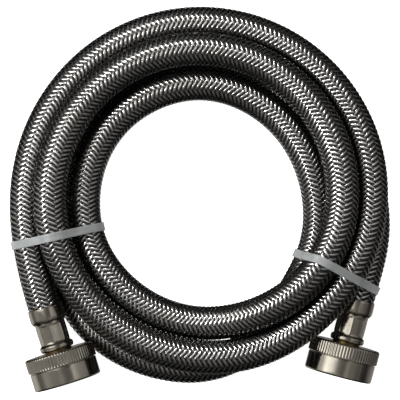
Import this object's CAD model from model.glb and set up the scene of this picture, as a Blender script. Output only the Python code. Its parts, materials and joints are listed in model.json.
"""A braided steel water hose, coiled flat and held by two nylon cable ties.

The hose lies on the floor (z = 0) and winds round the Z axis, clockwise seen from above. Both
ends leave the coil toward -Y, the left one at -X and the right one at +X. Each ends in a crimped
ferrule, a barbed stem, a flat washer and a swivel nut. Lengths are in mm unless noted.
"""

import json
import math

import bpy
import numpy as np
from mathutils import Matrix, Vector

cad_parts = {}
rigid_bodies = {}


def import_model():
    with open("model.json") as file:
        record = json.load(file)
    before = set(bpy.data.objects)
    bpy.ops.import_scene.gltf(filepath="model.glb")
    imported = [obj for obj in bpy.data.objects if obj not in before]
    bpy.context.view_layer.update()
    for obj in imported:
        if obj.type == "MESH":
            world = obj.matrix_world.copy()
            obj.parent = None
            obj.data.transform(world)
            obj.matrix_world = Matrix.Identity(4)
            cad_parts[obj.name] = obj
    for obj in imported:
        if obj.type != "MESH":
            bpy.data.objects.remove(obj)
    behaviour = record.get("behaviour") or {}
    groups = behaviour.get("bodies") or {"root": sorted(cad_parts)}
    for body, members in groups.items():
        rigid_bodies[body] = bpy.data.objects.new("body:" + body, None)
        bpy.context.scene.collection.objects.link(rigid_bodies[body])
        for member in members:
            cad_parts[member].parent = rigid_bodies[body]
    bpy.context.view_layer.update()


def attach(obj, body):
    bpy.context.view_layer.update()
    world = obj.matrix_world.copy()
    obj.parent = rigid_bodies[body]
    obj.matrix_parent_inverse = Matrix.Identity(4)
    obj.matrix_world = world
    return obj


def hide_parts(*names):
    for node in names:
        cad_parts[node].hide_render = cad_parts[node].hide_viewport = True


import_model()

MM = 0.001
SHIFT = np.array([0.784634, 2.154239, -0.06387])    # from the positions below to the CAD frame


def unit(vectors):
    return vectors / np.linalg.norm(vectors, axis=-1, keepdims=True)


# Centre of each nut's mouth, and the direction of its axis from there into the hose.
FITTINGS = {
    "left": (np.array([-57.5, -81.5, 18.0]), unit(np.array([-0.297, 0.9549, 0.0]))),
    "right": (np.array([59.65, -78.55, 15.4]), unit(np.array([0.257, 0.9664, 0.0]))),
}
# Distances from the nut mouth at which the centre line keeps to the axis of a fitting.
STRAIGHT_STATIONS = [14.0, 19.0, 24.0, 29.0, 34.3]

# The coiled part of the centre line: (distance from the Z axis, height), one point every
# COIL_STEP degrees. Angles run from -Y toward -X.
COIL_START, COIL_STEP = 75, 15
COIL = [
    (77.06, 18.52), (75.54, 17.86), (74.89, 16.88), (74.58, 16.23), (74.53, 15.96), (74.57, 15.96),
    (74.60, 16.08), (74.63, 16.35), (74.57, 16.93), (74.48, 18.12), (74.35, 19.87), (74.18, 21.86),
    (74.01, 23.71), (73.75, 25.25), (73.35, 26.75), (72.55, 27.47), (71.92, 25.71), (71.64, 24.10),
    (71.12, 24.44), (69.90, 24.91), (68.76, 24.56), (67.80, 24.27), (66.86, 24.50), (66.14, 25.77),
    (65.50, 28.11), (64.98, 28.69), (64.50, 27.91), (64.07, 27.14), (63.71, 26.58), (63.45, 26.27),
    (63.24, 26.12), (62.98, 26.06), (62.60, 26.25), (62.17, 26.99), (61.75, 28.31), (61.41, 30.03),
    (61.12, 31.71), (60.86, 33.24), (60.49, 34.78), (59.60, 35.16), (58.33, 32.43), (57.13, 28.11),
    (56.19, 23.23), (55.57, 20.09), (54.63, 19.04), (53.66, 18.76), (52.92, 18.55), (52.41, 18.17),
    (51.71, 17.57), (50.77, 16.98), (50.05, 16.59), (49.57, 16.44), (49.10, 16.40), (48.64, 16.39),
    (48.48, 16.39), (48.42, 16.41), (48.06, 16.54), (47.76, 16.95), (47.90, 17.77), (48.43, 18.66),
    (49.40, 18.88), (51.09, 17.80), (53.43, 15.47), (55.72, 12.51), (58.58, 9.78), (64.08, 8.27),
    (70.70, 7.78), (74.73, 7.70), (75.61, 7.70), (75.24, 7.73), (73.44, 7.90), (69.43, 8.37),
    (65.37, 8.92), (63.67, 8.41), (62.65, 7.91), (62.03, 7.71), (61.72, 7.70), (61.50, 7.70),
    (61.35, 7.70), (61.31, 7.70), (61.41, 7.70), (62.05, 7.70), (63.79, 7.70), (66.78, 7.71),
    (70.61, 7.89), (74.36, 8.82), (77.63, 11.44),
]
HOSE_RADIUS = 7.4


# ------------------------------------------------------------------ meshes
def make_mesh(name, verts, faces, mat, uv, lift=None, sharp_deg=None):
    """A smooth-shaded object. faces is a list of arrays, each of faces with equal side counts."""
    me = bpy.data.meshes.new(name)
    coords = (np.asarray(verts, dtype=np.float64).reshape(-1, 3) + SHIFT) * MM
    me.vertices.add(len(coords))
    me.vertices.foreach_set("co", coords.astype(np.float32).ravel())
    loops = np.concatenate([block.ravel() for block in faces]).astype(np.int32)
    sides = np.concatenate([np.full(len(block), block.shape[1], dtype=np.int32) for block in faces])
    starts = np.concatenate([[0], np.cumsum(sides)[:-1]]).astype(np.int32)
    me.loops.add(len(loops))
    me.loops.foreach_set("vertex_index", loops)
    me.polygons.add(len(sides))
    me.polygons.foreach_set("loop_start", starts)
    layer = me.uv_layers.new(name="along")
    layer.data.foreach_set("uv", np.asarray(uv, dtype=np.float32)[loops].ravel())
    if lift is not None:
        attribute = me.attributes.new(name="lift", type="FLOAT", domain="POINT")
        attribute.data.foreach_set("value", np.asarray(lift, dtype=np.float32))
    me.update(calc_edges=True)
    me.validate()
    me.polygons.foreach_set("use_smooth", np.ones(len(me.polygons), dtype=bool))
    ob = bpy.data.objects.new(name, me)
    bpy.context.scene.collection.objects.link(ob)
    me.materials.append(mat)
    if sharp_deg is not None:
        me.set_sharp_from_angle(angle=math.radians(sharp_deg))
    return ob


def grid_faces(rows, cols, close_rows, base=0):
    """Quads over a grid of points whose columns always close into a ring."""
    row, col = np.meshgrid(np.arange(rows if close_rows else rows - 1), np.arange(cols),
                           indexing="ij")
    next_row, next_col = (row + 1) % rows, (col + 1) % cols
    corners = [row * cols + col, next_row * cols + col,
               next_row * cols + next_col, row * cols + next_col]
    return np.stack(corners, -1).reshape(-1, 4) + base


def cap_faces(rows, cols, base=0):
    """One face over the first row of a grid and one over the last."""
    ring = np.arange(cols)
    return np.stack([ring[::-1] + base, ring + base + (rows - 1) * cols])


def grid_uv(u, v):
    return np.stack(np.broadcast_arrays(u, v), -1).reshape(-1, 2)


def facing_out(verts, centre, *blocks):
    """The face blocks, flipped if those of the first one face the centre."""
    corner = verts[blocks[0][:, :3]] - centre
    volume = np.einsum("ij,ij->i", corner[:, 0], np.cross(corner[:, 1], corner[:, 2])).sum()
    return [block[:, ::-1] if volume < 0 else block for block in blocks]


def register(ob, rides, piece):
    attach(ob, rides)
    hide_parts(piece)


# ------------------------------------------------------------------ centre line
def spline(points):
    """Natural cubic through points, by chord length: a function of its parameter, and its end."""
    points = np.asarray(points, float)
    knots = np.concatenate([[0], np.cumsum(np.linalg.norm(np.diff(points, axis=0), axis=1))])
    count = len(knots)
    gap = np.diff(knots)
    system = np.zeros((count, count))
    target = np.zeros((count, 3))
    system[0, 0] = system[-1, -1] = 1
    for i in range(1, count - 1):
        system[i, i - 1:i + 2] = gap[i - 1], 2 * (gap[i - 1] + gap[i]), gap[i]
        target[i] = 6 * ((points[i + 1] - points[i]) / gap[i]
                         - (points[i] - points[i - 1]) / gap[i - 1])
    bend = np.linalg.solve(system, target)    # second derivatives at the knots

    def at(x):
        x = np.clip(np.asarray(x, float), 0, knots[-1])
        i = np.clip(np.searchsorted(knots, x, side="right") - 1, 0, count - 2)
        width = gap[i][..., None]
        before = (knots[i + 1] - x)[..., None] / width
        after = (x - knots[i])[..., None] / width
        return (before * points[i] + after * points[i + 1]
                + ((before**3 - before) * bend[i] + (after**3 - after) * bend[i + 1])
                * width**2 / 6)

    return at, knots[-1]


def hose_line():
    """Points along the middle of the hose from left fitting to right, and their arc lengths."""
    left_mouth, left_axis = FITTINGS["left"]
    right_mouth, right_axis = FITTINGS["right"]
    points = [left_mouth + left_axis * station for station in STRAIGHT_STATIONS]
    for i, (radius, height) in enumerate(COIL):
        angle = math.radians(COIL_START + COIL_STEP * i)
        points.append(np.array([-math.sin(angle) * radius, -math.cos(angle) * radius, height]))
    points += [right_mouth + right_axis * station for station in reversed(STRAIGHT_STATIONS)]
    at, end = spline(points)
    line = at(np.linspace(0, end, 12000))
    lengths = np.linalg.norm(np.diff(line, axis=0), axis=1)
    return line, np.concatenate([[0], np.cumsum(lengths)])


LINE, ARC = hose_line()
TOTAL = ARC[-1]
TANGENT = unit(np.gradient(LINE, axis=0))
# angle of every point of the line, counted on through the turns
LINE_DEG = np.degrees(np.unwrap(np.arctan2(-LINE[:, 0], -LINE[:, 1])))


def along(s):
    """Centre, level sideways direction and upward direction at arc lengths s."""
    centre = np.stack([np.interp(s, ARC, LINE[:, k]) for k in range(3)], -1)
    tangent = unit(np.stack([np.interp(s, ARC, TANGENT[:, k]) for k in range(3)], -1))
    sideways = unit(np.stack([-tangent[..., 1], tangent[..., 0], np.zeros_like(s)], -1))
    return centre, sideways, np.cross(tangent, sideways)


def squeeze(s):
    """Radius of the hose over its free radius: less in the barrel and crimp of each ferrule."""
    from_mouth = np.minimum(s, TOTAL - s) + STRAIGHT_STATIONS[0]
    return np.interp(from_mouth, [14.0, 27.4, 29.6, 33.6, 36.0], [0.735, 0.735, 0.962, 0.966, 1.0])


# ------------------------------------------------------------------ shader helpers
def material(name):
    mat = bpy.data.materials.new(name)
    mat.use_nodes = True
    return mat, mat.node_tree, mat.node_tree.nodes["Principled BSDF"]


def feed(nt, target, inputs):
    """Links each socket given, and sets each plain value, on the inputs of a node."""
    for key, value in inputs.items():
        if isinstance(value, bpy.types.NodeSocket):
            nt.links.new(value, target.inputs[key])
        else:
            target.inputs[key].default_value = value


def node(nt, kind, inputs, **settings):
    made = nt.nodes.new(kind)
    for key, value in settings.items():
        setattr(made, key, value)
    feed(nt, made, inputs)
    return made


def maths(nt, operation, *values):
    made = node(nt, "ShaderNodeMath", dict(enumerate(values)), operation=operation)
    return made.outputs[0]


def mix_colour(nt, factor, a, b, blend="MIX"):
    made = node(nt, "ShaderNodeMix", {}, data_type="RGBA", blend_type=blend)
    feed(nt, made, {"Factor": factor, "A": a, "B": b})
    return made.outputs["Result"]


def noise(nt, scale, detail):
    coords = node(nt, "ShaderNodeTexCoord", {}).outputs["Object"]
    made = node(nt, "ShaderNodeTexNoise",
                {"Scale": scale, "Detail": detail, "Roughness": 0.55, "Vector": coords})
    return made.outputs["Fac"]


def ramp(nt, source, stops):
    """A colour ramp; stops are (position, grey level or colour)."""
    made = node(nt, "ShaderNodeValToRGB", {"Fac": source})
    elements = made.color_ramp.elements
    while len(elements) < len(stops):
        elements.new(0.5)
    for element, (position, value) in zip(elements, stops):
        element.position = position
        element.color = (*value, 1.0) if isinstance(value, tuple) else (value, value, value, 1.0)
    return made.outputs["Color"]


def bump(nt, height, strength, distance):
    made = node(nt, "ShaderNodeBump",
                {"Strength": strength, "Distance": distance, "Height": height})
    return made.outputs["Normal"]


def along_uv(nt):
    return node(nt, "ShaderNodeUVMap", {}, uv_map="along").outputs["UV"]


# ------------------------------------------------------------------ materials
def steel_wire_material(name):
    """Bright where a ribbon lies on top in the open, dark where it dips or is crowded."""
    mat, nt, bsdf = material(name)
    lift = node(nt, "ShaderNodeAttribute", {}, attribute_name="lift").outputs["Fac"]
    by_lift = ramp(nt, lift, [(0.0, (0.062, 0.06, 0.057)), (0.40, (0.155, 0.151, 0.145)),
                              (0.68, (0.42, 0.41, 0.396)), (0.97, (0.76, 0.75, 0.735))])
    mottle = ramp(nt, noise(nt, scale=900.0, detail=2.0), [(0.3, 0.80), (0.7, 1.0)])
    colour = mix_colour(nt, 1.0, by_lift, mottle, blend="MULTIPLY")
    # the weave hides most of what one ribbon would mirror of another
    glossy = node(nt, "ShaderNodeLightPath", {}).outputs["Is Glossy Ray"]
    dimming = maths(nt, "MULTIPLY_ADD", glossy, -0.6, 1.0)
    feed(nt, bsdf, {
        "Metallic": 1.0,
        "Base Color": mix_colour(nt, 1.0, colour, dimming, blend="MULTIPLY"),
        "Roughness": ramp(nt, noise(nt, scale=350.0, detail=2.0), [(0.3, 0.20), (0.75, 0.29)]),
    })
    return mat


def turned_metal_material(name, base, lines, rough):
    """Metal with fine lathe lines; rough is the least and greatest roughness."""
    mat, nt, bsdf = material(name)
    darker = tuple(b * 0.86 for b in base)
    lighter = tuple(min(1.0, b * 1.07) for b in base)
    feed(nt, bsdf, {
        "Metallic": 1.0,
        "Base Color": ramp(nt, noise(nt, scale=160.0, detail=4.0),
                           [(0.25, darker), (0.55, base), (0.8, lighter)]),
        "Roughness": ramp(nt, noise(nt, scale=420.0, detail=5.0),
                          [(0.3, rough[0]), (0.75, rough[1])]),
    })
    # the lines run round the axis: they vary with the distance along it
    stretched = node(nt, "ShaderNodeMapping", {"Scale": (6.0, lines, 1.0), "Vector": along_uv(nt)})
    streaks = node(nt, "ShaderNodeTexNoise",
                   {"Scale": 1.0, "Detail": 2.0, "Vector": stretched.outputs["Vector"]})
    normal = bump(nt, streaks.outputs["Fac"], strength=0.25, distance=0.00001)
    feed(nt, bsdf, {"Normal": normal})
    return mat


def rubber_material(name, base):
    mat, nt, bsdf = material(name)
    grain = noise(nt, scale=700.0, detail=4.0)
    feed(nt, bsdf, {
        "Base Color": ramp(nt, grain, [(0.3, tuple(b * 0.7 for b in base)),
                                       (0.7, tuple(b * 1.35 for b in base))]),
        "Roughness": ramp(nt, grain, [(0.3, 0.62), (0.7, 0.82)]),
        "Normal": bump(nt, grain, strength=0.35, distance=0.00005),
    })
    return mat


def yarn_material(name):
    """Two sets of diagonal strands crossing each other."""
    mat, nt, bsdf = material(name)
    uv = along_uv(nt)
    waves = []
    for sign in (1, -1):
        diagonal = node(nt, "ShaderNodeMapping",
                        {"Rotation": (0, 0, sign * math.radians(45)), "Vector": uv})
        wave = node(nt, "ShaderNodeTexWave", {"Scale": 0.35, "Distortion": 0.4,
                                              "Vector": diagonal.outputs["Vector"]})
        waves.append(wave.outputs["Fac"])
    strands = maths(nt, "MAXIMUM", *waves)
    feed(nt, bsdf, {
        "Base Color": ramp(nt, strands, [(0.2, (0.006, 0.006, 0.007)),
                                         (0.9, (0.022, 0.021, 0.021))]),
        "Roughness": 0.75,
        "Normal": bump(nt, strands, strength=0.5, distance=0.0001),
    })
    return mat


def nylon_material(name):
    mat, nt, bsdf = material(name)
    clouds = noise(nt, scale=90.0, detail=3.0)
    colour = ramp(nt, clouds, [(0.3, (0.25, 0.265, 0.265)), (0.55, (0.33, 0.345, 0.345)),
                               (0.8, (0.40, 0.415, 0.41))])
    grain = noise(nt, scale=500.0, detail=3.0)
    feed(nt, bsdf, {
        "Base Color": colour,
        "Roughness": ramp(nt, grain, [(0.3, 0.34), (0.75, 0.48)]),
        "Subsurface Weight": 0.35,
        "Subsurface Radius": (1.0, 1.0, 0.9),
        "Subsurface Scale": 0.0012,
        "IOR": 1.53,
        "Normal": bump(nt, grain, strength=0.25, distance=0.00004),
    })
    return mat


STEEL = steel_wire_material("steel_wire")
PLATED_NUT = turned_metal_material("nickel_nut", base=(0.63, 0.59, 0.51), lines=220.0,
                                   rough=(0.09, 0.17))
PLATED_FERRULE = turned_metal_material("nickel_ferrule", base=(0.59, 0.55, 0.475), lines=90.0,
                                       rough=(0.13, 0.24))
BRASS = turned_metal_material("turned_brass", base=(0.26, 0.18, 0.075), lines=260.0,
                              rough=(0.3, 0.45))
RUBBER = rubber_material("washer_rubber", base=(0.018, 0.018, 0.02))
TUBE_RUBBER = rubber_material("tube_rubber", base=(0.014, 0.014, 0.015))
YARN = yarn_material("dark_yarn")
NYLON = nylon_material("natural_nylon")


# ------------------------------------------------------------------ steel braid
CARRIERS = 24                # ribbons round the hose, half of them winding each way
CARRIER_DEG = 360.0 / CARRIERS
BRAID_PITCH = 25.3           # one turn of a ribbon along the hose
BRAID_END = 17.6             # from each end of the line, inside the ferrule barrels
RIBBON_MID_RADIUS = 7.15     # middle radius of the woven layer
RIBBON_SWING = 0.125         # how far a ribbon rises and dips from it
RIBBON_HALF = 0.51           # half width of a ribbon
RIBBON_WIRES = 5
# Braid this near a nut's axis and mouth is pushed out of the way of the nut.
NUT_CLEAR_LENGTH = 14.8
NUT_CLEAR_RADIUS = 15.85
NUT_CORE_RADIUS = 12.0       # nothing within this radius is moved

LINE_THINNED = LINE[::8]
ARC_THINNED = ARC[::8]


def ribbon_section():
    """(across, height) of a ribbon's outline: a crowned top with a ridge per wire, a flat back."""
    across = np.linspace(-RIBBON_HALF, RIBBON_HALF, 2 * RIBBON_WIRES + 1)
    crown = 1 - (across / RIBBON_HALF) ** 2
    ridge = np.where(np.arange(2 * RIBBON_WIRES + 1) % 2 == 1, 0.008, 0.0)
    top = 0.10 * crown + ridge - 0.03
    top[0] = top[-1] = -0.06
    back = [[RIBBON_HALF * 0.9, -0.09], [-RIBBON_HALF * 0.9, -0.09]]
    return np.concatenate([np.stack([across, top], -1), back])


RIBBON_SECTION = ribbon_section()


def openness(points, s):
    """0 where another turn of the hose touches this point, 1 where it's clear of every other."""
    same_turn = 60      # arc length within which the line counts as the point's own turn
    chunk = 4000
    nearest = np.empty(len(points))
    for i in range(0, len(points), chunk):
        p, own = points[i:i + chunk], s[i:i + chunk]
        squared = ((p**2).sum(1)[:, None] + (LINE_THINNED**2).sum(1)[None]
                   - 2 * p @ LINE_THINNED.T)
        squared[np.abs(own[:, None] - ARC_THINNED[None]) < same_turn] = 1e6
        nearest[i:i + chunk] = np.sqrt(np.maximum(squared.min(1), 0))
    x = np.clip((nearest - HOSE_RADIUS - 0.05) / 2.4, 0, 1)
    return x * x * (3 - 2 * x)


def weave(column):
    """1 where the first family of ribbons is on top, -1 where it is under; repeats every 4."""
    return np.interp(np.mod(column, 4.0), [0, 1, 2, 3, 4], [1, 1, -1, -1, 1])


def ribbon(index, family):
    """Cross sections of one ribbon (sections, outline, 3), their brightness and arc lengths."""
    step_deg = CARRIER_DEG / 2.0
    turn = family * 360.0 / BRAID_PITCH          # degrees per mm of hose
    count = int((TOTAL - 2 * BRAID_END) * abs(turn) / step_deg)
    # sections fall on whole and half columns of the weave
    base = index * 2 * CARRIER_DEG
    snap = math.ceil if family > 0 else math.floor
    first = snap((base + turn * BRAID_END) / step_deg) * step_deg
    angle = first + family * step_deg * np.arange(count)
    s = (angle - base) / turn
    centre, sideways, upward = along(s)
    around = np.radians(angle)[:, None]
    radial = np.cos(around) * sideways + np.sin(around) * upward
    lift = weave(angle / CARRIER_DEG) * family
    radius = (RIBBON_MID_RADIUS + RIBBON_SWING * lift) * squeeze(s)
    middle = centre + radius[:, None] * radial
    tangent = unit(np.gradient(middle, axis=0))
    side = unit(np.cross(radial, tangent))
    outward = np.cross(tangent, side)
    across, height = RIBBON_SECTION[None, :, :1], RIBBON_SECTION[None, :, 1:]
    points = middle[:, None] + across * side[:, None] + height * outward[:, None]
    bright = np.clip(0.5 + 0.40 * lift[:, None] + (height[..., 0] - 0.05) * 4.0, 0, 1)
    return points, bright * (0.13 + 0.87 * openness(middle, s))[:, None], s


def clear_of_nuts(points):
    """Dents the braid where the rim of a nut rests against the strand beside it."""
    for mouth, axis in FITTINGS.values():
        offset = points - mouth
        station = offset @ axis
        away = offset - station[..., None] * axis
        radius = np.linalg.norm(away, axis=-1)
        back, out = NUT_CLEAR_LENGTH - station, NUT_CLEAR_RADIUS - radius
        inside = (station > 0) & (back > 0) & (out > 0) & (radius > NUT_CORE_RADIUS)
        points = (points + np.where(inside & (back < out), back, 0)[..., None] * axis
                  + np.where(inside & (back >= out), out / radius, 0)[..., None] * away)
    return points


def braid_piece(index):
    """One ribbon of each family."""
    verts, walls, caps, lifts, uvs = [], [], [], [], []
    base = 0
    for family in (1, -1):
        points, lift, s = ribbon(index, family)
        rows, cols = points.shape[:2]
        verts.append(clear_of_nuts(points).reshape(-1, 3))
        walls.append(grid_faces(rows, cols, False, base))
        caps.append(cap_faces(rows, cols, base))
        lifts.append(lift.reshape(-1))
        uvs.append(grid_uv(s[:, None], RIBBON_SECTION[None, :, 0]))
        base += rows * cols
    return make_mesh("braid_ribbons_%02d" % (index + 1), np.concatenate(verts),
                     [np.concatenate(walls), np.concatenate(caps)], STEEL,
                     uv=np.concatenate(uvs), lift=np.concatenate(lifts))


for ob in [braid_piece(i) for i in range(CARRIERS // 2)]:
    register(ob, "hose_bundle", "steel_braid")


# ------------------------------------------------------------------ layers under the braid
PIPE_END = 4.8        # from each end of the line


def pipe(name, outer, inner, mat, sides, step):
    """A hollow layer of the hose between two radii."""
    s = np.arange(PIPE_END, TOTAL - PIPE_END + 1e-6, step)
    centre, sideways, upward = along(s)
    angle = np.linspace(0, 2 * np.pi, sides, endpoint=False)
    cos, sin = np.cos(angle)[None, :, None], np.sin(angle)[None, :, None]

    def wall(radius):
        reach = (radius * squeeze(s))[:, None, None]
        return centre[:, None] + reach * (cos * sideways[:, None] + sin * upward[:, None])

    points = np.concatenate([wall(outer), wall(inner)[::-1]], 0)
    there_and_back = np.concatenate([s, s[::-1]])
    faces = grid_faces(len(points), sides, True)[:, ::-1]
    return make_mesh(name, points, [faces], mat, sharp_deg=50,
                     uv=grid_uv(there_and_back[:, None], angle[None] * outer))


register(pipe("yarn_layer", outer=6.83, inner=6.66, mat=YARN, sides=24, step=3.0),
         "hose_bundle", "yarn_sleeve")
register(pipe("water_tube", outer=6.6, inner=4.75, mat=TUBE_RUBBER, sides=20, step=4.0),
         "hose_bundle", "inner_tube")


# ------------------------------------------------------------------ turned pieces
# Outlines are closed rings of (distance from the nut mouth, radius, rounding of the corner).
def rounded(outline, steps=3):
    """The outline's (distance, radius) points, with every corner rounded."""
    corners = np.asarray([corner[:2] for corner in outline], float)
    result = []
    for i, here in enumerate(corners):
        to_last, to_next = corners[i - 1] - here, corners[(i + 1) % len(corners)] - here
        last_length, next_length = np.linalg.norm(to_last), np.linalg.norm(to_next)
        cut = min(outline[i][2], 0.45 * last_length, 0.45 * next_length)
        start = here + to_last / last_length * cut
        end = here + to_next / next_length * cut
        for t in np.linspace(0, 1, steps + 1):
            result.append((1 - t) ** 2 * start + 2 * t * (1 - t) * here + t * t * end)
    return np.asarray(result)


def subdivided(outline, pieces):
    """Cuts each edge a-b of a closed outline into pieces(a, b) equal parts, or leaves it whole."""
    result = []
    for i, a in enumerate(outline):
        b = outline[(i + 1) % len(outline)]
        count = max(1, pieces(a, b))
        for j in range(count):
            result.append(a + (b - a) * j / count)
    return np.asarray(result)


def no_longer_than(longest):
    return lambda a, b: int(math.ceil(np.linalg.norm(b - a) / longest))


def turned(name, side, outline, segments, mat, sharp_deg, shape=None):
    """Turns an outline about a fitting's axis; shape(distance, radius, angle) gives new radii."""
    mouth, axis = FITTINGS[side]
    across = np.array([axis[1], -axis[0], 0.0])
    up = np.array([0, 0, 1.0])
    ring = np.linspace(0, 2 * np.pi, segments, endpoint=False)
    station, radius, angle = np.broadcast_arrays(outline[:, :1], outline[:, 1:], ring[None])
    if shape is not None:
        radius = shape(station, radius, angle)
    radial = np.cos(angle)[..., None] * across + np.sin(angle)[..., None] * up
    verts = (mouth + station[..., None] * axis + radius[..., None] * radial).reshape(-1, 3)
    faces = facing_out(verts, mouth, grid_faces(len(outline), segments, True))
    return make_mesh(name, verts, faces, mat, sharp_deg=sharp_deg,
                     uv=grid_uv(ring[None] / (2 * np.pi), outline[:, :1] / 10.0))


# Swivel nut: a plain skirt at the mouth, a knurled band behind it, a thread in the bore.
NUT_RIDGES = 72
NUT_LENGTH = 14.4
NUT_OUTSIDE = 13.9             # radii beyond this belong to the outer surface
SKIRT_RADIUS, BAND_RADIUS = 14.85, 15.35
KNURL_DEPTH = 0.22
RIDGE_CREST = 0.12             # share of a ridge that is flat crest
THREAD_PITCH, THREAD_DEPTH = 2.209, 0.72
THREAD_START, THREAD_END = 0.8, 6.6
THREAD_CREST_RADIUS = 12.7

NUT_OUTLINE = rounded([
    (0.0, 13.45, 0.12), (0.0, 14.35, 0.25), (0.55, SKIRT_RADIUS, 0.3), (7.75, SKIRT_RADIUS, 0.12),
    (7.85, 14.45, 0.08), (8.15, 14.45, 0.08), (8.2, 15.2, 0.12), (8.4, BAND_RADIUS, 0.15),
    (13.7, BAND_RADIUS, 0.45), (NUT_LENGTH, 14.75, 0.35), (NUT_LENGTH, 6.45, 0.12),
    (12.9, 6.45, 0.1), (12.9, 13.25, 0.2), (7.0, 13.25, 0.2),
    (THREAD_END, THREAD_CREST_RADIUS, 0.1), (THREAD_START, THREAD_CREST_RADIUS, 0.1),
])


def nut_pieces(a, b):
    """Fine rows where the thread runs, coarser ones along the outside."""
    length = abs(a[0] - b[0])
    if abs(a[1] - THREAD_CREST_RADIUS) < 0.02 and abs(b[1] - THREAD_CREST_RADIUS) < 0.02:
        return int(length / 0.17)
    if a[1] > NUT_OUTSIDE and b[1] > NUT_OUTSIDE and length > 1.0:
        return int(length / 0.8)
    return 1


def nut_shape(s, radius, angle):
    """Cuts the knurl into the band and the thread into the bore."""
    outside = radius > NUT_OUTSIDE
    band = np.clip((s - 8.35) / 0.25, 0, 1) * np.clip((14.2 - s) / 0.5, 0, 1) * outside
    # 0 at the crest of a ridge, 1 in the groove
    groove = np.abs(np.mod(angle * NUT_RIDGES / (2 * np.pi), 1.0) - 0.5) * 2
    slope = np.clip((groove - RIDGE_CREST) / (1 - RIDGE_CREST), 0, 1)
    radius = radius - band * KNURL_DEPTH * (0.5 - 0.5 * np.cos(np.pi * slope))
    inside = (radius < 12.95) & (radius > 12.0) & (s < 6.8)
    turn = np.mod(s / THREAD_PITCH - angle / (2 * np.pi), 1.0)
    tooth = np.clip(1.0 - np.abs(turn - 0.5) * 2 * 1.25, 0, 1)    # 1 at the thread's crest
    fade = np.clip((s - THREAD_START) / 0.6, 0, 1) * np.clip((THREAD_END - s) / 0.6, 0, 1)
    return np.where(inside, radius + THREAD_DEPTH * (1 - tooth) * fade, radius)


# Crimp ferrule: a bead behind the nut, a neck crimped by eight jaws, and a barrel.
JAWS = 8
CRIMP_START, CRIMP_END = 18.2, 27.6
LAND_HEIGHT = 0.10
FERRULE_OUTLINE = rounded([
    (15.6, 4.95, 0.1), (15.6, 6.28, 0.1), (15.15, 6.28, 0.08), (15.1, 6.75, 0.15),
    (15.5, 7.35, 0.35), (16.5, 7.5, 0.5), (17.5, 7.35, 0.4), (17.95, 6.75, 0.25),
    (CRIMP_START, 6.45, 0.15), (19.2, 6.42, 0.3), (23.0, 6.48, 0.5), (26.9, 6.42, 0.3),
    (CRIMP_END, 6.9, 0.2), (28.4, 7.6, 0.4), (29.4, 7.8, 0.6), (31.0, 7.84, 0.9),
    (33.2, 7.76, 0.6), (34.15, 7.64, 0.12), (34.3, 7.5, 0.08), (34.3, 7.33, 0.05),
    (33.0, 7.3, 0.2), (29.2, 7.28, 0.4), (27.0, 5.6, 0.4), (16.9, 5.6, 0.1), (16.8, 4.95, 0.08),
])


def ferrule_shape(s, radius, angle):
    """Eight jaw flats round the crimp, with slightly proud lands between them."""
    outside = radius > 5.9
    # 0 on a land, 1 in the middle of a flat
    q = np.abs(np.mod(angle * JAWS / (2 * np.pi) + 0.5, 1.0) - 0.5) * 2
    # radius of a polygon over that of the circle through its corners
    flat = 1.0 / np.cos((1 - q) * np.pi / JAWS) * np.cos(np.pi / JAWS)
    zone = (np.clip((s - CRIMP_START) / 0.8, 0, 1) * np.clip((CRIMP_END - s) / 0.5, 0, 1)
            * outside)
    land = np.clip(1 - q / 0.16, 0, 1) ** 0.7
    radius = radius * (1 + zone * 0.55 * (flat - 0.975)) + zone * LAND_HEIGHT * land
    # the jaws run out into the barrel in scallops, with a step behind each flat
    step = np.clip((s - (27.1 + 0.95 * q ** 2)) / 0.45, 0, 1)
    step = step * step * (3 - 2 * step)
    near = outside & (s > 26.6) & (s < 29.3)
    low = 6.5 + LAND_HEIGHT * land
    return np.where(near, low + (np.maximum(radius, low) - low) * step, radius)


# Barbed stem: a flange inside the nut, a neck, and a tail with four barbs.
BARB_PITCH = 3.0
BARB_RADIUS, BARB_FOOT_RADIUS = 3.9, 3.45
BARBS = [corner for i in range(4) for corner in (
    (21.6 + BARB_PITCH * i, BARB_RADIUS, 0.05), (21.8 + BARB_PITCH * i, BARB_FOOT_RADIUS, 0.05))]
STEM_OUTLINE = rounded([
    (10.2, 4.0, 0.3), (10.2, 11.0, 0.2), (11.6, 11.0, 0.2), (11.6, 6.2, 0.1), (11.8, 6.0, 0.1),
    (15.3, 6.0, 0.15), (15.3, 4.65, 0.1), (17.1, 4.65, 0.1), (17.1, 5.2, 0.1), (18.4, 5.2, 0.1),
    (18.7, BARB_FOOT_RADIUS, 0.1), *BARBS, (32.8, 3.4, 0.1), (33.0, 3.0, 0.1), (12.0, 3.0, 0.3),
])
WASHER_OUTLINE = rounded([
    (7.1, 7.9, 0.35), (7.1, 12.45, 0.35), (9.9, 12.45, 0.35), (9.9, 7.9, 0.35),
], steps=4)

for side in FITTINGS:
    ob = turned(side + "_crimp_ferrule", side, subdivided(FERRULE_OUTLINE, no_longer_than(0.45)),
                segments=128, mat=PLATED_FERRULE, sharp_deg=40, shape=ferrule_shape)
    register(ob, "hose_bundle", side + "_ferrule")
    ob = turned(side + "_barbed_stem", side, subdivided(STEM_OUTLINE, no_longer_than(1.2)),
                segments=96, mat=BRASS, sharp_deg=32)
    register(ob, "hose_bundle", side + "_stem")
    ob = turned(side + "_flat_washer", side, subdivided(WASHER_OUTLINE, no_longer_than(0.9)),
                segments=128, mat=RUBBER, sharp_deg=50)
    register(ob, side + "_seal", side + "_washer")
    ob = turned(side + "_swivel_nut", side, subdivided(NUT_OUTLINE, nut_pieces),
                segments=NUT_RIDGES * 6, mat=PLATED_NUT, sharp_deg=38, shape=nut_shape)
    register(ob, side + "_coupling_nut", side + "_nut")


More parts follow.
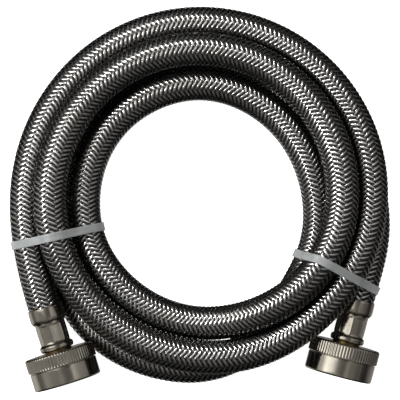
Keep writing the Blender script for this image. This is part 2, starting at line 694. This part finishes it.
# ------------------------------------------------------------------ cable ties
# outer, crease, inner: (x, y) places the strap passes over, from outside the coil to inside
# first_deg: angle of the first strand it holds; the others follow a full turn apart
# head_at: place of the head along its flank, 0 to 1; gap: between the strap and the strands
TIES = {
    "left": dict(outer=(-80.7, -22.0), crease=(-49.3, -15.0), inner=(-43.0, -13.8),
                 first_deg=73.5, head_at=0.5, gap=0.04),
    "right": dict(outer=(76.6, -41.7), crease=(50.3, -27.4), inner=(42.0, -25.6),
                  first_deg=300, head_at=0.7, gap=0.12),
}
TIE_STRANDS = 4
STRAP_STEP = 0.45
HALF_WIDTH, THICK = 1.8, 0.66
# Strap section: (across, height above the strands), with a shallow channel underneath.
STRAP_SECTION = np.array([
    (-HALF_WIDTH + 0.15, 0.0), (-HALF_WIDTH + 0.65, 0.0), (-HALF_WIDTH + 0.75, 0.12),
    (HALF_WIDTH - 0.75, 0.12), (HALF_WIDTH - 0.65, 0.0), (HALF_WIDTH - 0.15, 0.0),
    (HALF_WIDTH, 0.16), (HALF_WIDTH, THICK - 0.3), (HALF_WIDTH - 0.1, THICK - 0.08),
    (HALF_WIDTH - 0.35, THICK), (HALF_WIDTH - 0.7, THICK - 0.02), (0, THICK - 0.05),
    (-HALF_WIDTH + 0.7, THICK - 0.02), (-HALF_WIDTH + 0.35, THICK),
    (-HALF_WIDTH + 0.1, THICK - 0.08), (-HALF_WIDTH, THICK - 0.3), (-HALF_WIDTH, 0.16),
])
HEAD_HALF_LENGTH, HEAD_HALF_WIDTH = 2.9, 2.75
HEAD_SIDES = 32
HEAD_SQUARENESS = 0.28    # power of the sine and cosine: 1 gives an ellipse, 0 a rectangle
# Head: (height above the strap line, share of the full size). The last rows go down into a pocket.
HEAD_ROWS = np.array([
    (0.15, 0.95), (0.35, 1.0), (2.6, 1.0), (3.9, 0.93), (4.25, 0.86),
    (4.3, 0.74), (4.3, 0.40), (4.1, 0.34), (1.25, 0.34), (1.2, 0.40),
])


def convex(points):
    """The convex hull, anticlockwise."""
    ordered = sorted(map(tuple, points))

    def half(sequence):
        hull = []
        for p in sequence:
            while len(hull) > 1 and ((hull[-1][0] - hull[-2][0]) * (p[1] - hull[-2][1])
                                     - (hull[-1][1] - hull[-2][1]) * (p[0] - hull[-2][0])) <= 1e-9:
                hull.pop()
            hull.append(p)
        return hull[:-1]

    return np.asarray(half(ordered) + half(ordered[::-1]))


class TieFrame:
    """Level directions along the tie (out of the coil) and across it, and its bent course."""

    def __init__(self, spec):
        course = [np.array(spec[key], float) for key in ("inner", "crease", "outer")]
        self.out = unit(course[2] - course[0])
        self.across = np.array([-self.out[1], self.out[0]])
        self.stations = [p @ self.out for p in course]
        self.offsets = [p @ self.across for p in course]

    def side_at(self, u):
        """Sideways place at u along the tie; the strap bends over about a width."""
        return np.mean([np.interp(np.asarray(u) + shift, self.stations, self.offsets)
                        for shift in np.linspace(-1.6, 1.6, 9)], axis=0)

    def place(self, u, w, z):
        x, y = (self.out[k] * u + self.across[k] * w for k in range(2))
        return np.stack([x, y, z], -1)


def tie_hull(spec, frame):
    """Hull (along, z) round the strands where the tie crosses them."""
    angle = np.linspace(0, 2 * np.pi, 96, endpoint=False)
    reach = HOSE_RADIUS + spec["gap"]
    circles = []
    for turn in range(TIE_STRANDS):
        strand = LINE[np.abs(LINE_DEG - (spec["first_deg"] + 360 * turn)) < 14]
        u = strand[:, :2] @ frame.out
        i = np.abs(strand[:, :2] @ frame.across - frame.side_at(u)).argmin()
        circles.append(np.stack([u[i] + reach * np.cos(angle),
                                 strand[i, 2] + reach * np.sin(angle)], -1))
    return convex(np.concatenate(circles))


def tie_strap(side, hull, frame):
    closed = np.concatenate([hull, hull[:1]])
    lengths = np.linalg.norm(np.diff(closed, axis=0), axis=1)
    travel = np.concatenate([[0], np.cumsum(lengths)])
    count = int(travel[-1] / STRAP_STEP)
    t = np.linspace(0, travel[-1], count, endpoint=False)
    loop = np.stack([np.interp(t, travel, closed[:, k]) for k in range(2)], -1)
    for _ in range(5):       # a strap doesn't turn sharply
        loop = 0.5 * loop + 0.25 * (np.roll(loop, 1, 0) + np.roll(loop, -1, 0))
    edge = unit(np.roll(loop, -1, 0) - np.roll(loop, 1, 0))
    normal = np.stack([edge[:, 1], -edge[:, 0]], -1)
    across, height = STRAP_SECTION[None, :, 0], STRAP_SECTION[None, :, 1]
    u = loop[:, None, 0] + normal[:, None, 0] * height
    z = loop[:, None, 1] + normal[:, None, 1] * height
    w = frame.side_at(loop[:, 0])[:, None] + across
    verts = frame.place(u, w, z).reshape(-1, 3)
    faces = facing_out(verts, verts.mean(0), grid_faces(count, len(STRAP_SECTION), True))
    return make_mesh(side + "_tie_strap", verts, faces, NYLON, uv=grid_uv(t[:, None], across),
                     sharp_deg=40)


def tie_head(side, hull, frame, head_at):
    """Locking head on the outer face of the strap's longest lower flank."""
    edges = np.roll(hull, -1, 0) - hull
    lengths = np.linalg.norm(edges, axis=1)
    i = np.where(edges[:, 0] / lengths > 0.3, lengths, 0).argmax()
    centre = hull[i] + edges[i] * head_at
    flank = edges[i] / lengths[i]
    outward = np.array([flank[1], -flank[0]])

    def squared(value):
        return math.copysign(abs(value) ** HEAD_SQUARENESS, value)

    angles = [2 * math.pi * j / HEAD_SIDES for j in range(HEAD_SIDES)]
    ring = np.array([(squared(math.cos(a)), squared(math.sin(a))) for a in angles])
    height, size = HEAD_ROWS[:, :1], HEAD_ROWS[:, 1:]
    length = HEAD_HALF_LENGTH * size * ring[:, 0]
    u = centre[0] + flank[0] * length + outward[0] * height
    z = centre[1] + flank[1] * length + outward[1] * height
    w = frame.side_at(u) + HEAD_HALF_WIDTH * size * ring[:, 1]
    verts = frame.place(u, w, z).reshape(-1, 3)
    faces = facing_out(verts, verts.mean(0), grid_faces(len(HEAD_ROWS), HEAD_SIDES, False),
                       cap_faces(len(HEAD_ROWS), HEAD_SIDES))
    return make_mesh(side + "_tie_head", verts, faces, NYLON, uv=np.zeros((len(verts), 2)),
                     sharp_deg=40)


for side, spec in TIES.items():
    frame = TieFrame(spec)
    hull = tie_hull(spec, frame)
    for ob in (tie_strap(side, hull, frame), tie_head(side, hull, frame, spec["head_at"])):
        register(ob, "hose_bundle", side + "_cable_tie")


# ------------------------------------------------------------------ floor (metres)
def make_floor(half):
    me = bpy.data.meshes.new("floor")
    me.from_pydata([(-half, -half, 0), (half, -half, 0), (half, half, 0), (-half, half, 0)],
                   [], [(0, 1, 2, 3)])
    floor = bpy.data.objects.new("floor", me)
    bpy.context.scene.collection.objects.link(floor)
    mat, nt, bsdf = material("pale_floor")
    feed(nt, bsdf, {
        "Base Color": ramp(nt, noise(nt, scale=30.0, detail=2.0), [(0.3, 0.90), (0.7, 0.93)]),
        "Roughness": 0.9,
        "Specular IOR Level": 0.0,
        "Emission Color": (1, 1, 1, 1),
        "Emission Strength": 1.0,
    })
    me.materials.append(mat)
    floor.visible_glossy = False


make_floor(half=3)


# ------------------------------------------------------------------ lights (metres, watts)
def area_light(name, location, size, power):
    """A square light aimed at the origin."""
    light = bpy.data.lights.new(name, "AREA")
    light.shape = "RECTANGLE"
    light.size = light.size_y = size
    light.energy = power
    light.spread = math.radians(180)
    ob = bpy.data.objects.new(name, light)
    ob.location = location
    ob.rotation_euler = (-Vector(location)).to_track_quat("-Z", "Y").to_euler()
    bpy.context.scene.collection.objects.link(ob)
    return ob


strand_lights = [
    area_light("key_left", (-0.88, 0.10, 0.93), size=0.18, power=9.6),
    area_light("key_far", (-0.12, 0.92, 0.93), size=0.18, power=8.0),
    area_light("overhead", (0.22, 0.30, 1.22), size=0.7, power=1.0),
]
# these three leave out the polished fittings, which answer to the room's panels alone
fittings = bpy.data.collections.new("fittings_off_the_keys")
for ob in list(bpy.context.scene.objects):
    if ob.type == "MESH" and any(k in ob.name for k in ("nut", "crimp_ferrule", "barbed_stem")):
        fittings.objects.link(ob)
for item in fittings.collection_objects:
    item.light_linking.link_state = "EXCLUDE"
for lamp in strand_lights:
    lamp.light_linking.receiver_collection = fittings


# ------------------------------------------------------------------ room
WARM = (1.0, 0.98, 0.945)
# Grey panels round the room: (degrees from straight overhead toward +X, brightness).
# The first set shows where X and Y have the same sign, the second where they differ.
PANELS_SAME = [
    (-180, 0.5), (-140, 0.5), (-120, 0.51), (-101, 0.125), (-85, 0.15), (-70, 0.32), (-57, 0.29),
    (-45, 0.24), (-33, 0.225), (-21, 0.21), (-9, 0.24), (2, 0.18), (13.6, 0.06), (22, 0.10),
    (31, 0.55), (37, 0.42), (50, 0.27), (63, 0.24), (77, 0.21), (93, 0.06), (113, 0.02),
    (140, 0.005), (180, 0.1),
]
PANELS_DIFFER = [
    (-180, 0.012), (-113, 0.011), (-93, 0.018), (-82, 0.30), (-77, 0.42), (-63, 0.60), (-56, 1.3),
    (-50, 1.65), (-37, 1.45), (-25, 1.2), (-17, 0.9), (-10, 0.3), (-2, 0.12), (9, 0.12),
    (21, 0.29), (33, 0.175), (45, 0.17), (57, 0.105), (70, 0.115), (80, 0.04), (100, 0.025),
    (120, 0.15), (147, 0.3), (180, 0.3),
]
# The rest of the room: (Z of the direction, brightness).
BASE_SKY = [(0.0, 0.012), (0.12, 0.02), (0.30, 0.065), (0.75, 0.105), (0.955, 0.095),
            (0.985, 0.055), (1.0, 0.045)]


def sky_ramp(nt, source, stops):
    return ramp(nt, source, [(position, tuple(v * w for w in WARM)) for position, v in stops])


def panel_ramp(nt, turn, panels):
    return sky_ramp(nt, turn, [(degrees / 360 + 0.5, v) for degrees, v in panels])


def make_world():
    world = bpy.data.worlds.new("studio")
    world.use_nodes = True
    bpy.context.scene.world = world
    nt = world.node_tree
    coords = node(nt, "ShaderNodeTexCoord", {}).outputs["Generated"]
    x, y, z = node(nt, "ShaderNodeSeparateXYZ", {"Vector": coords}).outputs
    turn = maths(nt, "ADD", maths(nt, "DIVIDE", maths(nt, "ARCTAN2", x, z), 2 * math.pi), 0.5)
    same = panel_ramp(nt, turn, PANELS_SAME)
    differ = panel_ramp(nt, turn, PANELS_DIFFER)
    # a quick change from one set of panels to the other across X = 0 and Y = 0
    corner = maths(nt, "MULTIPLY", maths(nt, "MULTIPLY", x, y), 14.0)
    share = node(nt, "ShaderNodeClamp", {"Value": maths(nt, "ADD", corner, 0.5)})
    panels = mix_colour(nt, share.outputs["Result"], differ, same)
    base_sky = sky_ramp(nt, z, BASE_SKY)
    # the panels give way to the plain room toward +Y and -Y
    fade = node(nt, "ShaderNodeMapRange", {"From Min": 0.40, "From Max": 0.58,
                                           "Value": maths(nt, "ABSOLUTE", y)})
    room = mix_colour(nt, fade.outputs["Result"], panels, base_sky)
    feed(nt, nt.nodes["Background"], {"Color": room, "Strength": 1.0})


make_world()

# ------------------------------------------------------------------ camera, looking straight down
SENSOR_WIDTH = 36.0
VIEW_WIDTH, VIEW_DISTANCE = 173.9, 1200.0    # the width in view, at this distance
CAMERA_X, CAMERA_Y = -0.2, -2.2
CAMERA_HEIGHT = 1217.0

scene = bpy.context.scene
scene.view_settings.view_transform = "Standard"
scene.view_settings.look = "None"
scene.view_settings.exposure = 0.0

cam = bpy.data.cameras.new("camera")
cam.lens = SENSOR_WIDTH * VIEW_DISTANCE / VIEW_WIDTH
cam.sensor_width = SENSOR_WIDTH
cam.clip_start, cam.clip_end = 0.05, 10
camera = bpy.data.objects.new("camera", cam)
camera.location = ((CAMERA_X + SHIFT[0]) * MM, (CAMERA_Y + SHIFT[1]) * MM, CAMERA_HEIGHT * MM)
scene.collection.objects.link(camera)
scene.camera = camera
